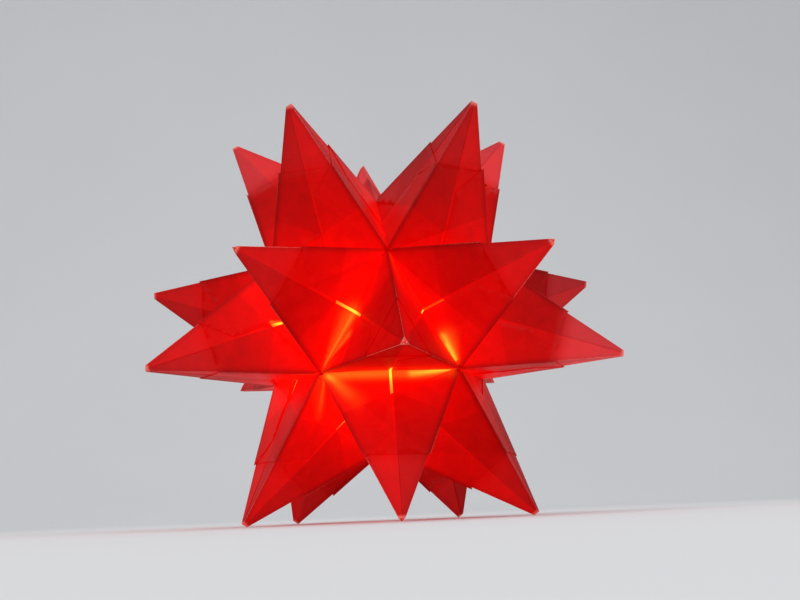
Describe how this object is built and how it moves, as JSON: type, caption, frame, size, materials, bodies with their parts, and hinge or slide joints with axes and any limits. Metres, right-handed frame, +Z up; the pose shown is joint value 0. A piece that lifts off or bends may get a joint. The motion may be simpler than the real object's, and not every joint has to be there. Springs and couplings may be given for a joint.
{
  "type": "modular origami star",
  "caption": "Spiky paper star lantern of identical folded square sheets slotted into three-sided points, standing on its lower points and lit from inside by a small battery candle.",
  "frame": {"origin": "bottom centre of the bounding box, on the surface that the five lowest points rest on", "axes": "+Z up through the middle of the ring of five top points; -Y towards one point of the lower side ring"},
  "size_m": [0.2226, 0.234, 0.191],
  "materials": {
    "red_paper": "thin translucent red paper, lightly waxy, glowing where few layers overlap",
    "white_plastic": "smooth white moulded plastic",
    "flame_plastic": "frosted warm plastic, lit from inside"
  },
  "bodies": {
    "root": {"unit_bottom_1": "red_paper", "unit_bottom_2": "red_paper", "unit_bottom_3": "red_paper", "unit_bottom_4": "red_paper", "unit_bottom_5": "red_paper", "unit_left_1": "red_paper", "unit_left_2": "red_paper", "unit_left_3": "red_paper", "unit_left_4": "red_paper", "unit_left_5": "red_paper", "unit_lower_1": "red_paper", "unit_lower_2": "red_paper", "unit_lower_3": "red_paper", "unit_lower_4": "red_paper", "unit_lower_5": "red_paper", "unit_right_1": "red_paper", "unit_right_2": "red_paper", "unit_right_3": "red_paper", "unit_right_4": "red_paper", "unit_right_5": "red_paper", "unit_top_1": "red_paper", "unit_top_2": "red_paper", "unit_top_3": "red_paper", "unit_top_4": "red_paper", "unit_top_5": "red_paper", "unit_upper_1": "red_paper", "unit_upper_2": "red_paper", "unit_upper_3": "red_paper", "unit_upper_4": "red_paper", "unit_upper_5": "red_paper", "candle_housing": "white_plastic", "candle_flame": "flame_plastic"}
  },
  "joints": []
}
